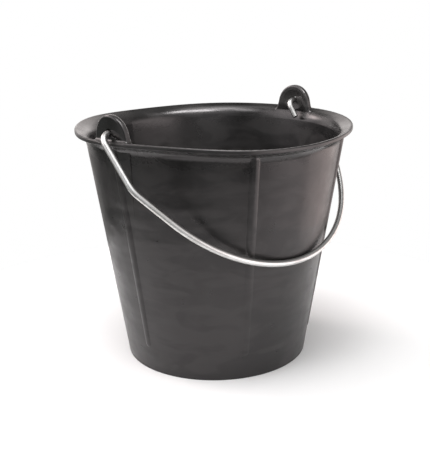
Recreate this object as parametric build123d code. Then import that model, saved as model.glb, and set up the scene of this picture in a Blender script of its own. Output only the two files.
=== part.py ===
from build123d import *
import math
import os

# Bucket wall and base
rim_radius = 155.0
rim_height = 266.4
rim_overhang = 9.5
base_radius = 104.6
wall_thickness = 4.5
base_thickness = 5.0
base_corner = 1.0
inside_corner = 12.0

# Foot ring round a shallow recess under the base
foot_width = 14.0
foot_height = 3.0
foot_corner = 2.0

# Rim flange and its upright lip
flange_angle = 65.0
flange_blend = 12.0
lip_top_round = 1.6
lip_bottom_round = 1.0

# Ribs on the outer wall
rib_count = 6
rib_bottom = 29.5
rib_drop = 7.0
rib_bottom_width = 7.5
rib_top_width = 10.6
rib_bottom_rise = 0.8
rib_top_rise = 2.6
rib_root = 0.6

# Pads that spread the load of the ears into the wall
pad_drop = 10.4
pad_length = 96.0
pad_bottom_width = 18.0
pad_top_width = 44.0
pad_bottom_rise = -0.2
pad_top_rise = 0.9
pad_round = 2.0
pad_root = 3.2

# Ears
ear_setback = 4.5
ear_thickness = 7.0
ear_radius = 23.0
ear_height = 27.0
ear_spread = 6.4
ear_flare = 8.5
ear_sector = 36.0
ear_edge = 2.6
ear_seat = 0.3
ear_root = 2.5
dish_depth = 1.5
dish_radius = 12.5

# Wire bail
wire_diameter = 6.7
pivot_rise = 8.5
hole_clearance = 0.9
hole_slack = 0.5
leg_gap = 11.3
leg_length = 67.8
hook_gap = 10.5
hook_length = 21.8
hook_twist = 9.0
hook_bend = 9.0
leg_bend = 12.5
kink_bend = 30.0
bow_inset = 2.8
bow_drop = 29.4
wire_chamfer = 0.6
rest_clearance = 0.3

# Derived sizes
draft = math.atan((rim_radius - rim_overhang - base_radius) / rim_height)
flange = math.radians(flange_angle)
lip_bottom = rim_height - wall_thickness / math.sin(flange)
floor_height = foot_height + base_thickness
rib_top = rim_height - rib_drop
pad_top = rim_height - pad_drop
pad_bottom = pad_top - pad_length
ear_outer = rim_radius - ear_setback
ear_inner = ear_outer - ear_thickness
ear_round = (ear_thickness - ear_edge) / 2
ear_top = rim_height + ear_height
ear_centre = ear_top - ear_radius
ear_foot_width = 2 * ear_radius + ear_spread
wire_radius = wire_diameter / 2
pivot_height = rim_height + pivot_rise
hole_height = pivot_height + hole_slack
hook_span = ear_inner - hook_gap
leg_span = ear_outer + leg_gap
bow_radius = leg_span - bow_inset
bow_depth = leg_span + bow_drop
bow_centre = bow_depth - bow_radius


# Outer radius of the wall at a height
def wall_radius(z):
    return base_radius + z * math.tan(draft)


# Point where the outer wall would meet the underside of the flange
def flange_corner():
    rise = lip_bottom * math.tan(flange) - rim_radius + base_radius
    z = rise / (math.tan(flange) - math.tan(draft))
    return wall_radius(z), z


# Centre of the curve between wall and flange
def blend_centre():
    r, z = flange_corner()
    back = flange_blend * math.tan((flange - draft) / 2)
    r = r - back * math.sin(draft) + flange_blend * math.cos(draft)
    z = z - back * math.cos(draft) - flange_blend * math.sin(draft)
    return r, z


# Height of a surface a given depth below the top of the flange, near the ears
def flange_surface(radius, depth):
    r, z = blend_centre()
    curve = flange_blend + wall_thickness - depth
    run = r - curve * math.cos(flange)
    if radius < run:
        return z + math.sqrt(curve**2 - (r - radius) ** 2)
    return rim_height - depth / math.sin(flange) - (rim_radius - radius) / math.tan(flange)


# Rounds one corner of a flat profile
def rounded(profile, corner, radius):
    vertex = profile.vertices().sort_by_distance((corner[0], corner[1], 0))[0]
    return fillet(vertex, radius)


# Wall, base and rim turned from one profile
def shell():
    corner = flange_corner()
    thick = wall_thickness / math.cos(draft)
    slope = math.tan(flange)
    top_z = base_radius - thick - rim_radius + rim_height * slope
    top_z = top_z / (slope - math.tan(draft))
    foot = (base_radius - foot_width, 0)
    recess = (base_radius - foot_width - foot_height, foot_height)
    outer_base = (base_radius, 0)
    under_lip = (rim_radius, lip_bottom)
    lip = (rim_radius, rim_height)
    inner_corner = (wall_radius(top_z) - thick, top_z)
    inner_base = (wall_radius(floor_height) - thick, floor_height)
    points = [(0, foot_height), recess, foot, outer_base, corner, under_lip, lip]
    points = points + [inner_corner, inner_base, (0, floor_height)]
    profile = make_face(Polyline(*points, close=True))
    profile = rounded(profile, recess, foot_corner)
    profile = rounded(profile, foot, foot_corner / 2)
    profile = rounded(profile, outer_base, base_corner)
    profile = rounded(profile, corner, flange_blend)
    profile = rounded(profile, under_lip, lip_bottom_round)
    profile = rounded(profile, lip, lip_top_round)
    profile = rounded(profile, inner_corner, flange_blend + wall_thickness)
    profile = rounded(profile, inner_base, inside_corner)
    return Rot(0, 0, 90) * revolve(Plane.XZ * profile, axis=Axis.Z)


# Plane lying on the wall on the +X side, with its Y up the wall
def wall_plane(z):
    out = (math.cos(draft), 0, -math.sin(draft))
    return Plane(origin=(wall_radius(z), 0, z), x_dir=(0, 1, 0), z_dir=out)


# Radius of the arc that spans a width with a rise
def crown(width, rise):
    return (width**2 / 4 + rise**2) / (2 * rise)


# One half-round rib, wide and high under the rim, narrow near the base
def rib():
    length = (rib_top - rib_bottom) / math.cos(draft)
    low = crown(rib_bottom_width, rib_bottom_rise)
    high = crown(rib_top_width, rib_top_rise)
    start = Vector(0, rib_bottom_width / 2, rib_bottom_rise - low)
    spine = Vector(0, length - rib_top_width / 2, rib_top_rise - high) - start
    outline = make_hull(Circle(low).edges() + (Pos(spine.length, 0) * Circle(high)).edges())
    half = outline & Pos(length / 2, -length) * Rectangle(2 * length, 2 * length)
    ridge = Plane(origin=start, x_dir=spine, z_dir=(1, 0, 0)) * revolve(half, axis=Axis.X)
    ridge = ridge & Pos(0, length / 2, length - rib_root) * Box(length, 2 * length, 2 * length)
    return wall_plane(rib_bottom) * ridge


# Tapering pad below an ear that thickens towards the rim
def ear_pad():
    low = wall_radius(pad_bottom)
    high = wall_radius(pad_top)
    inner = [(high - pad_root, pad_top), (low - pad_root, pad_bottom)]
    outer = [(low + pad_bottom_rise, pad_bottom), (high + pad_top_rise, pad_top)]
    profile = Plane.XZ * make_face(Polyline(*inner, *outer, close=True))
    ring = Rot(0, 0, -ear_sector / 2) * revolve(profile, axis=Axis.Z, revolution_arc=ear_sector)
    low = pad_bottom_width / 2
    high = pad_top_width / 2
    front = Polyline((-low, pad_bottom), (low, pad_bottom), (high, pad_top), (-high, pad_top), close=True)
    solid = ring & extrude(Plane.YZ * make_face(front), amount=2 * ear_outer)
    top = solid.faces().sort_by(Axis.Z)[-1]
    rooted = top.edges().filter_by(GeomType.CIRCLE).sort_by(SortBy.RADIUS)[0]
    return fillet([edge for edge in top.edges() if edge != rooted], pad_round)


# Ring section that the ear is cut from, rooted in the flange
def ear_ring():
    depth = wall_thickness / 2
    low = (ear_inner, flange_surface(ear_inner, depth))
    high = (ear_outer, flange_surface(ear_outer, depth))
    profile = make_face(Polyline(low, high, (ear_outer, ear_top), (ear_inner, ear_top), close=True))
    ring = revolve(Plane.XZ * profile, axis=Axis.Z, revolution_arc=ear_sector)
    return Rot(0, 0, -ear_sector / 2) * ring


# Front view of an ear with its flared foot
def ear_outline():
    foot = flange_surface(ear_inner, 0) - ear_seat
    low = foot - wall_thickness
    middle = (low + foot) / 2
    root = Pos(0, middle) * Rectangle(2 * ear_foot_width, wall_thickness)
    neck = Pos(0, middle) * Rectangle(ear_foot_width, wall_thickness)
    top = Pos(0, ear_centre) * Circle(ear_radius)
    outline = make_hull(top.edges() + neck.edges()) + root
    outline = rounded(outline, (ear_foot_width / 2, foot), ear_flare)
    outline = rounded(outline, (-ear_foot_width / 2, foot), ear_flare)
    return Plane.YZ * outline


# Tells whether an edge borders the inner or the outer face of an ear
def on_ear_face(edge):
    middle = edge @ 0.5
    radius = math.hypot(middle.X, middle.Y)
    return min(abs(radius - ear_inner), abs(radius - ear_outer)) < 0.01


# Shallow dish round the hole in the inner face of an ear
def ear_dish():
    ball = (dish_radius**2 + dish_depth**2) / (2 * dish_depth)
    reach = Cylinder(dish_radius + dish_depth, 4 * dish_depth, rotation=(0, 90, 0))
    sphere = Pos(dish_depth - ball, 0, 0) * Sphere(ball, rotation=(0, 0, 180))
    return Pos(ear_inner, 0, hole_height) * (reach & sphere)


# One ear with rounded edges, the dish and the hole for the wire
def ear():
    solid = ear_ring() & extrude(ear_outline(), amount=2 * ear_outer)
    foot = flange_surface(ear_inner, 0)
    solid = fillet([e for e in solid.edges() if on_ear_face(e) and (e @ 0.5).Z > foot], ear_round)
    hole = Cylinder(wire_radius + hole_clearance, 4 * ear_thickness, rotation=(0, 90, 0))
    return solid - ear_dish() - Pos(ear_inner, 0, hole_height) * hole


# Grows an ear out of the flange with a rounded root
def with_ear(body, turn):
    lug = Rot(0, 0, turn) * ear()
    joined = body + lug
    return joined.fillet(ear_root, new_edges(body, lug, combined=joined))


# The whole bucket as one moulding
def bucket_body():
    body = with_ear(with_ear(shell(), 0), 180)
    raised = [Rot(0, 0, turn) * ear_pad() for turn in (0, 180)]
    for i in range(rib_count):
        raised.append(Rot(0, 0, i * 360 / rib_count) * rib())
    return body.fuse(*raised)


# Tilt from hanging straight down at which the bow rests on the wall
def rest_tilt():
    reach = base_radius + pivot_height * math.tan(draft)
    reach = reach * math.cos(draft) + wire_radius + rest_clearance
    return math.asin(reach / bow_depth) - draft


# Where the bow of the bail begins, on the tangent from the foot of the leg
def bow_start():
    drop = leg_length - bow_centre
    swing = math.acos(bow_radius / math.hypot(leg_span, drop)) + math.atan2(drop, leg_span)
    return bow_radius * math.cos(swing), -bow_centre - bow_radius * math.sin(swing)


# Cut end of the wire, on a hook turned out of the plane of the bow
def hook_end(side):
    twist = math.radians(hook_twist)
    return Vector(side * hook_span, -hook_length * math.cos(twist), -hook_length * math.sin(twist))


# One end of the wire, from the cut end in the bucket to the bow
def bail_end(side):
    x, y = bow_start()
    in_ear = (side * (ear_inner + ear_outer) / 2, 0)
    half_leg = (side * leg_span, -leg_length / 2)
    hook = FilletPolyline(hook_end(side), (side * hook_span, 0), in_ear, radius=hook_bend)
    leg = FilletPolyline(in_ear, (side * leg_span, 0), half_leg, radius=leg_bend)
    shoulder = FilletPolyline(half_leg, (side * leg_span, -leg_length), (side * x, y), radius=kink_bend)
    return hook.edges() + leg.edges() + shoulder.edges()


# Centre line of the wire with the pivot axis along X
def bail_path():
    x, y = bow_start()
    bow = ThreePointArc((x, y), (0, -bow_depth), (-x, y))
    return Wire(bail_end(1) + bow.edges() + bail_end(-1))


# The bail, bent from one wire and laid at rest against the wall
def wire_bail():
    path = bail_path()
    tip = Plane(origin=path @ 0, z_dir=path % 0)
    wire = sweep(tip * Circle(wire_radius), path=path)
    cuts = wire.faces().filter_by(GeomType.PLANE)
    wire = chamfer(cuts.edges(), wire_chamfer)
    tilt = rest_tilt()
    rest = Plane(origin=(0, 0, pivot_height), x_dir=(1, 0, 0), z_dir=(0, -math.cos(tilt), math.sin(tilt)))
    return rest * wire


os.makedirs("parts", exist_ok=True)
export_step(bucket_body(), "parts/bucket_body.step")
export_step(wire_bail(), "parts/wire_bail.step")
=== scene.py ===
import math
import bpy
from mathutils import Matrix, Vector


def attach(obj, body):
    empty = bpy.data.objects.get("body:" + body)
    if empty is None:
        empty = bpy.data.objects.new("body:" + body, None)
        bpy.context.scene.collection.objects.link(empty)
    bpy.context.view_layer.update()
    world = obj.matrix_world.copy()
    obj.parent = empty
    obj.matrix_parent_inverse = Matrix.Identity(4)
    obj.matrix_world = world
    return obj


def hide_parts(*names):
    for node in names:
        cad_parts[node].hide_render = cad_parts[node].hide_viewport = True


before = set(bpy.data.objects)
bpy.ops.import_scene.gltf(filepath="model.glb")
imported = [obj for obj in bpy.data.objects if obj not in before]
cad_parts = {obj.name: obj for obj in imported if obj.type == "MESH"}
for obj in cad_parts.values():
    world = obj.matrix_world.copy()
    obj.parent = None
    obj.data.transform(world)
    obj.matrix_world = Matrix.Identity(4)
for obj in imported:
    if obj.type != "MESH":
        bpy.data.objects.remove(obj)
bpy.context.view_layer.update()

# Camera, in metres and radians, with the object turned by view_turn degrees about the vertical
view_turn = 46.21
camera_distance = 0.950
camera_height = 0.4262
camera_pitch = 0.29247
camera_yaw = 0.01937
camera_roll = -0.01091
camera_near = 0.01
sensor_mm = 36.0
focal_px = 853.23
centre_px = (231.0, 229.9)
image_px = (430, 465)

# Slow drift of the rim's height, as (waves round the rim, millimetres, degrees), and its mean lift
# in millimetres
rim_drift = [(1, 0.16, 94), (2, 1.5, -9), (3, 0.69, -99), (4, 0.78, 115), (5, 0.39, -96)]
rim_lift = 0.27

# Heights in metres where the drift is full, starts to fade below the ears' holes, and is gone
drift_full = 0.255
drift_end = 0.2668
drift_gone = 0.2705

# Shallow dent that the wall keeps on one side, deepest at the rim, in degrees and metres
dent_angle = 134
dent_reach = 46
dent_depth = 0.0015
dent_top = 0.266

# Soft light all round, as (azimuth, elevation, half width, red, green, blue), azimuth 0 being
# behind the object. A light is full over lobe_core of its half width
light_base = (0.073, 0.074, 0.072)
lobe_core = 0.45
lights = [
    (0, 6, 34, 1.05, 0.98, 0.96),
    (30, 6, 34, 0.70, 0.67, 0.66),
    (90, 6, 34, 0.31, 0.30, 0.30),
    (120, 6, 34, 1.56, 1.44, 1.43),
    (150, 6, 34, 0.14, 0.14, 0.14),
    (180, 30, 34, 0.57, 0.57, 0.58),
    (-120, 6, 34, 0.33, 0.34, 0.34),
    (-90, 30, 34, 1.89, 1.81, 1.84),
    (-60, 6, 34, 0.05, 0.05, 0.05),
    (-60, 30, 34, 0.85, 0.78, 0.78),
    (-62, 30, 12, 7.00, 6.20, 6.00),
    (-30, 6, 34, 0.52, 0.50, 0.49),
    (45, 54, 30, 0.24, 0.24, 0.24),
    (135, 54, 30, 0.65, 0.65, 0.65),
    (180, 54, 30, 0.72, 0.72, 0.72),
    (-45, 70, 16, 0.94, 0.94, 0.94),
    (135, 70, 16, 1.00, 1.00, 1.00),
    (-135, 70, 16, 3.19, 3.19, 3.19),
    (0, 90, 18, 2.31, 2.31, 2.31),
    (60, -12, 30, 1.56, 1.32, 1.27),
    (90, -12, 30, 0.86, 0.78, 0.78),
    (120, -12, 30, 1.18, 1.10, 1.10),
    (180, -12, 30, 0.35, 0.36, 0.36),
    (-90, -12, 30, 0.16, 0.17, 0.16),
    (-120, -12, 30, 0.18, 0.18, 0.18),
    (-160, 78, 12, 4.37, 4.37, 4.37),
    (-135, 58, 10, 5.00, 5.00, 5.00),
]
backdrop_colour = (1.0, 1.0, 1.0, 1.0)

# Softbox high in front that draws the light on the back of the rim, in degrees, metres and watts
softbox_azimuth = 146
softbox_elevation = 70
softbox_distance = 1.0
softbox_sides = (0.54, 0.27)
softbox_watts = 9.2
softbox_aim = (0.0, 0.0, 0.26)

# Floor sheet
floor_radius = 0.42
floor_points = 128
floor_colour = (0.96, 0.96, 0.96, 1.0)
floor_roughness = 0.9
floor_gloss = 0.2

# Each fade below gives the values where it starts and ends, and then its share at these two where
# that isn't 0 and 1. Places on the moulding go by height, or by reach from the axis, in metres
foot_height = (0.0005, 0.0045, 1.0, 0.0)
calm_height = (0.212, 0.236, 1.0, 0.10)
mouth_height = (0.236, 0.252)
mouth_reach = (0.1515, 0.1530, 1.0, 0.0)
lip_height = (0.2645, 0.2662)
lip_reach = (0.1515, 0.1546)
ear_height = (0.2675, 0.2715)
ear_face_reach = (0.1452, 0.1462, 1.0, 0.0)
ear_back_reach = (0.1494, 0.1501)

# Noises of the rubber, as (stretch along each axis, detail, roughness, swirl)
rubber_noises = {
    "cloud": ((11.0, 11.0, 8.0), 4.0, 0.55, 0.0),
    "mottle": ((60.0, 60.0, 46.0), 4.0, 0.6, 0.0),
    "flow": ((13.0, 13.0, 58.0), 1.0, 0.4, 0.0),
    "lumps": ((46.0, 46.0, 46.0), 1.0, 0.4, 0.0),
    "marks": ((18.0, 18.0, 44.0), 2.0, 0.5, 1.0),
    "speck": ((420.0, 420.0, 420.0), 2.0, 0.55, 0.0),
    "grain": ((1500.0, 1500.0, 1500.0), 2.0, 0.55, 0.0),
}

# Colours of the rubber, with painted light on the ears' faces and painted shade on their backs,
# and the fades of the noises that mix them
rubber_dark = (0.0072, 0.0070, 0.0069)
rubber_pale = (0.0138, 0.0132, 0.0128)
marks_colour = (0.0230, 0.0218, 0.0213)
speck_colour = (0.0700, 0.0670, 0.0640)
scuff_colour = (0.0110, 0.0106, 0.0103)
# The ears' pale faces are painted light that stands in for the light they reflect
ear_face_painted_light = (0.0560, 0.0540, 0.0528)
# The ears' dark backs are painted shade
ear_back_painted_shade = (0.0060, 0.0059, 0.0058)
cloud_fade = (0.34, 0.70)
marks_fade = (0.42, 0.60, 0.0, 0.62)
speck_fade = (0.68, 0.80, 0.0, 0.2)
scuff_fade = (0.35, 0.65, 0.25, 0.9)
ear_face_light_fade = (0.3, 0.7, 0.45, 0.8)

# Roughness of the rubber from its noises, and what each place adds to it
skin_roughness = (0.3, 0.7, 0.27, 0.35)
marks_roughness = (0.4, 0.64, 0.0, 0.05)
place_roughness = {
    "scuff": 0.26,
    "mouth": -0.10,
    "ear": 0.14,
    "ear_back": -0.27,
    "ear_face": -0.18,
}
rubber_ior = 1.52
rubber_tint = (1.0, 0.955, 0.965, 1.0)

# Bumps of the rubber, as (strength, height in metres)
wave_bump = (0.5, 0.0022)
lump_bump = (0.4, 0.0011)
grain_bump = (0.25, 0.00012)

# The wire's noises, colours, fades and bump, as for the rubber. It is rubbed where it turns in the
# ears, by the distance from the middle in metres
wire_noises = {
    "cloud": ((70.0, 70.0, 70.0), 4.0, 0.55, 0.0),
    "streak": ((260.0, 260.0, 260.0), 3.0, 0.65, 0.0),
    "fine": ((900.0, 900.0, 900.0), 2.0, 0.55, 0.0),
}
wire_pale = (0.70, 0.695, 0.685)
wire_dark = (0.56, 0.555, 0.545)
wire_streak = (0.42, 0.415, 0.405)
wire_rubbed = (0.62, 0.61, 0.595)
wire_cloud_fade = (0.35, 0.7)
wire_streak_fade = (0.58, 0.72, 0.0, 0.4)
wire_rub_start = (0.139, 0.142)
wire_rub_end = (0.152, 0.155, 1.0, 0.0)
wire_roughness = (0.3, 0.7, 0.31, 0.39)
wire_streak_roughness = (0.5, 0.75, 0.0, 0.06)
wire_rubbed_roughness = -0.06
wire_bump = (0.2, 0.0001)


# A node with its inputs linked or set, as one of its outputs
def add(tree, kind, inputs=None, output=0, **settings):
    made = tree.nodes.new("ShaderNode" + kind)
    for key, value in settings.items():
        setattr(made, key, value)
    for key, value in (inputs or {}).items():
        if isinstance(value, bpy.types.NodeSocket):
            tree.links.new(value, made.inputs[key])
        else:
            made.inputs[key].default_value = value
    return made.outputs[output]


# Value remapped between two ranges with soft ends
def spread(tree, value, low, high, start=0.0, end=1.0):
    limits = {"Value": value, "From Min": low, "From Max": high, "To Min": start, "To Max": end}
    return add(tree, "MapRange", limits, interpolation_type="SMOOTHSTEP")


# Arithmetic on two values
def maths(tree, operation, a, b):
    return add(tree, "Math", {0: a, 1: b}, operation=operation)


def times(tree, a, b):
    return maths(tree, "MULTIPLY", a, b)


# A mixed colour as it is, and a plain one with the alpha that its socket takes
def solid(colour):
    return colour if isinstance(colour, bpy.types.NodeSocket) else (*colour, 1.0)


# Two colours mixed by a factor
def blend_colours(tree, factor, a, b):
    sides = {0: factor, 6: solid(a), 7: solid(b)}
    return add(tree, "Mix", sides, output=2, data_type="RGBA")


# Noise on the object's own coordinates, stretched along each axis
def noise(tree, stretch, detail, roughness, swirl):
    place = add(tree, "TexCoord", output="Object")
    moved = add(tree, "Mapping", {"Vector": place, "Scale": stretch})
    settings = {"Detail": detail, "Roughness": roughness, "Distortion": swirl}
    return add(tree, "TexNoise", {"Vector": moved, "Scale": 1.0, **settings})


# Bump on top of another, or on the plain surface
def bump(tree, height, strength, distance, below=None):
    inputs = {"Height": height, "Strength": strength, "Distance": distance}
    if below is not None:
        inputs["Normal"] = below
    return add(tree, "Bump", inputs)


def new_material(name):
    made = bpy.data.materials.new(name)
    made.use_nodes = True
    return made, made.node_tree, made.node_tree.nodes["Principled BSDF"]


def new_object(name, data):
    made = bpy.data.objects.new(name, data)
    bpy.context.scene.collection.objects.link(made)
    return made


# Masks of the places on the moulding that look different
def rubber_places(tree, mottle):
    place = add(tree, "TexCoord", output="Object")
    height = add(tree, "SeparateXYZ", {0: place}, output="Z")
    flat = add(tree, "VectorMath", {0: place, 1: (1.0, 1.0, 0.0)}, operation="MULTIPLY")
    reach = add(tree, "VectorMath", {0: flat}, output="Value", operation="LENGTH")
    lip = times(tree, spread(tree, reach, *lip_reach), spread(tree, height, *lip_height))
    foot = spread(tree, height, *foot_height)
    edges = maths(tree, "MAXIMUM", lip, foot)
    ear = spread(tree, height, *ear_height)
    high = spread(tree, height, *mouth_height)
    return {
        "scuff": times(tree, edges, spread(tree, mottle, *scuff_fade)),
        "mouth": times(tree, high, spread(tree, reach, *mouth_reach)),
        "ear": ear,
        "ear_face": times(tree, ear, spread(tree, reach, *ear_face_reach)),
        "ear_back": times(tree, ear, spread(tree, reach, *ear_back_reach)),
        "calm": spread(tree, height, *calm_height),
    }


# Clouded black with paler flow marks and specks and scuffed edges, with painted light on the ears'
# faces and painted shade on their backs
def rubber_colour(tree, noises, places):
    rub_and_painted_light = spread(tree, noises["mottle"], *ear_face_light_fade)
    layers = [
        (spread(tree, noises["marks"], *marks_fade), marks_colour),
        (spread(tree, noises["speck"], *speck_fade), speck_colour),
        (places["scuff"], scuff_colour),
        # Painted light on the ears' faces, in patches
        (times(tree, places["ear_face"], rub_and_painted_light), ear_face_painted_light),
        # Painted shade on the ears' backs
        (places["ear_back"], ear_back_painted_shade),
    ]
    clouds = spread(tree, noises["cloud"], *cloud_fade)
    colour = blend_colours(tree, clouds, rubber_dark, rubber_pale)
    for share, layer in layers:
        colour = blend_colours(tree, share, colour, layer)
    return colour


def rubber_roughness(tree, noises, places):
    skin = spread(tree, noises["mottle"], *skin_roughness)
    rough = maths(tree, "ADD", skin, spread(tree, noises["marks"], *marks_roughness))
    for name, more in place_roughness.items():
        rough = maths(tree, "ADD", rough, times(tree, places[name], more))
    return rough


# Waves and lumps that calm down towards the mouth, under a fine grain
def rubber_bump(tree, noises, calm):
    surface = None
    for name, (strength, distance) in (("flow", wave_bump), ("lumps", lump_bump)):
        surface = bump(tree, noises[name], times(tree, calm, strength), distance, surface)
    return bump(tree, noises["grain"], *grain_bump, surface)


# Black recycled rubber: satin skin with flow marks from the mould, a fine grain, scuffs on the lip
# and the foot, and ears with painted light on the face and painted shade on the glossy back
def rubber_material():
    made, tree, shader = new_material("black_rubber")
    noises = {name: noise(tree, *settings) for name, settings in rubber_noises.items()}
    places = rubber_places(tree, noises["mottle"])
    tree.links.new(rubber_colour(tree, noises, places), shader.inputs["Base Color"])
    tree.links.new(rubber_roughness(tree, noises, places), shader.inputs["Roughness"])
    tree.links.new(rubber_bump(tree, noises, places["calm"]), shader.inputs["Normal"])
    shader.inputs["IOR"].default_value = rubber_ior
    shader.inputs["Specular Tint"].default_value = rubber_tint
    return made


# Drawn steel wire with a thin zinc skin, rubbed smooth where it turns in the ears
def wire_material():
    made, tree, shader = new_material("drawn_steel")
    noises = {name: noise(tree, *settings) for name, settings in wire_noises.items()}
    across = add(tree, "SeparateXYZ", {0: add(tree, "TexCoord", output="Object")}, output="X")
    side = add(tree, "Math", {0: across}, operation="ABSOLUTE")
    rub_and_painted_light = times(tree, spread(tree, side, *wire_rub_start), spread(tree, side, *wire_rub_end))
    clouds = spread(tree, noises["cloud"], *wire_cloud_fade)
    streaks = spread(tree, noises["streak"], *wire_streak_fade)
    colour = blend_colours(tree, clouds, wire_pale, wire_dark)
    for share, layer in ((streaks, wire_streak), (rub_and_painted_light, wire_rubbed)):
        colour = blend_colours(tree, share, colour, layer)
    tree.links.new(colour, shader.inputs["Base Color"])
    rough = spread(tree, noises["cloud"], *wire_roughness)
    rough = maths(tree, "ADD", rough, spread(tree, noises["streak"], *wire_streak_roughness))
    rough = maths(tree, "ADD", rough, times(tree, rub_and_painted_light, wire_rubbed_roughness))
    tree.links.new(rough, shader.inputs["Roughness"])
    tree.links.new(bump(tree, noises["fine"], *wire_bump), shader.inputs["Normal"])
    shader.inputs["Metallic"].default_value = 1.0
    return made


# Height of the rim above a flat circle, at an angle round the bucket
def rim_height_drift(angle):
    total = rim_lift
    for waves, size, phase in rim_drift:
        total += size * math.cos(waves * angle - math.radians(phase))
    return total / 1000


# Share of the rim's drift that a height on the bucket takes
def drift_share(z):
    if z > drift_end:
        return max(0.0, (drift_gone - z) / (drift_gone - drift_end))
    return min(1.0, z / drift_full)


# Share of the distance from the middle that the dent takes off at a point
def dent_share(point, angle):
    off = math.remainder(angle - math.radians(dent_angle), 2 * math.pi) / math.radians(dent_reach)
    if abs(off) >= 1.0:
        return 0.0
    depth = dent_depth * math.cos(off * math.pi / 2) ** 2 * min(1.0, point.z / dent_top)
    return depth / math.hypot(point.x, point.y)


# The moulding with the uneven rim and the dent of a used rubber bucket
def make_moulding():
    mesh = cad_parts["bucket_body"].data.copy()
    mesh.name = "bucket_moulding"
    for vertex in mesh.vertices:
        place = vertex.co.copy()
        angle = math.atan2(place.y, place.x)
        kept = 1.0 - dent_share(place, angle)
        lift = rim_height_drift(angle) * drift_share(place.z)
        vertex.co = (place.x * kept, place.y * kept, place.z + lift)
    mesh.materials.clear()
    mesh.materials.append(rubber_material())
    piece = new_object("bucket_moulding", mesh)
    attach(piece, "bucket")
    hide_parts("bucket_body")
    return piece


# Direction in the object's frame from an azimuth and elevation seen by the camera
def direction(azimuth, elevation):
    a = math.radians(azimuth + view_turn)
    e = math.radians(elevation)
    return Vector((math.sin(a) * math.cos(e), math.cos(a) * math.cos(e), math.sin(e)))


# Camera at the photograph's viewing angle, shifted to its centre
def make_camera():
    cp, sp = math.cos(camera_pitch), math.sin(camera_pitch)
    cy, sy = math.cos(camera_yaw), math.sin(camera_yaw)
    ahead = Vector((sy * cp, cy * cp, -sp))
    right = Vector((cy, -sy, 0.0))
    up = right.cross(ahead)
    cr, sr = math.cos(camera_roll), math.sin(camera_roll)
    axes = Matrix((cr * right + sr * up, cr * up - sr * right, -ahead)).transposed().to_4x4()
    place = Matrix.Translation((0.0, -camera_distance, camera_height))
    camera = new_object("camera", bpy.data.cameras.new("camera"))
    camera.matrix_world = Matrix.Rotation(-math.radians(view_turn), 4, "Z") @ place @ axes
    long_side = max(image_px)
    camera.data.sensor_fit = "AUTO"
    camera.data.sensor_width = sensor_mm
    camera.data.lens = focal_px * sensor_mm / long_side
    camera.data.shift_x = (image_px[0] / 2 - centre_px[0]) / long_side
    camera.data.shift_y = (centre_px[1] - image_px[1] / 2) / long_side
    camera.data.clip_start = camera_near
    bpy.context.scene.camera = camera


# White backdrop all round that lights the object softly from the directions in lights
def make_world():
    world = bpy.data.worlds.new("studio")
    bpy.context.scene.world = world
    world.use_nodes = True
    tree = world.node_tree
    tree.nodes.clear()
    seen = add(tree, "TexCoord", output="Generated")
    total = light_base
    for azimuth, elevation, width, *colour in lights:
        sides = {0: seen, 1: direction(azimuth, elevation)}
        aim = add(tree, "VectorMath", sides, output="Value", operation="DOT_PRODUCT")
        inner = math.cos(math.radians(width * lobe_core))
        outer = math.cos(math.radians(width))
        glow = spread(tree, aim, outer, inner)
        total = add(tree, "VectorMath", {0: glow, 1: colour, 2: total}, operation="MULTIPLY_ADD")
    light = add(tree, "Background", {"Color": total, "Strength": 1.0})
    plain = add(tree, "Background", {"Color": backdrop_colour, "Strength": 1.0})
    path = add(tree, "LightPath", output="Is Camera Ray")
    mixed = add(tree, "MixShader", {0: path, 1: light, 2: plain})
    out = tree.nodes.new("ShaderNodeOutputWorld")
    tree.links.new(mixed, out.inputs["Surface"])


# Softbox for one piece alone, so that it leaves the shadow on the floor as it is
def make_softbox(piece):
    lamp = bpy.data.lights.new("softbox", "AREA")
    lamp.shape = "RECTANGLE"
    lamp.size, lamp.size_y = softbox_sides
    lamp.energy = softbox_watts
    box = new_object("softbox", lamp)
    away = direction(softbox_azimuth, softbox_elevation)
    box.location = Vector(softbox_aim) + softbox_distance * away
    box.rotation_euler = away.to_track_quat("Z", "Y").to_euler()
    box.visible_camera = False
    lit = bpy.data.collections.new("softbox_lit")
    lit.objects.link(piece)
    box.light_linking.receiver_collection = lit


# Pale round sheet that the bucket stands on
def make_floor():
    mesh = bpy.data.meshes.new("floor")
    ring = [2 * math.pi * i / floor_points for i in range(floor_points)]
    edge = [(floor_radius * math.cos(a), floor_radius * math.sin(a), 0.0) for a in ring]
    mesh.from_pydata(edge, [], [list(range(floor_points))])
    made, _, shader = new_material("pale_floor")
    shader.inputs["Base Color"].default_value = floor_colour
    shader.inputs["Roughness"].default_value = floor_roughness
    shader.inputs["Specular IOR Level"].default_value = floor_gloss
    mesh.materials.append(made)
    floor = new_object("floor", mesh)


make_camera()
make_softbox(make_moulding())
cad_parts["wire_bail"].data.materials.clear()
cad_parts["wire_bail"].data.materials.append(wire_material())
make_floor()
make_world()
bpy.context.scene.view_settings.view_transform = "Standard"
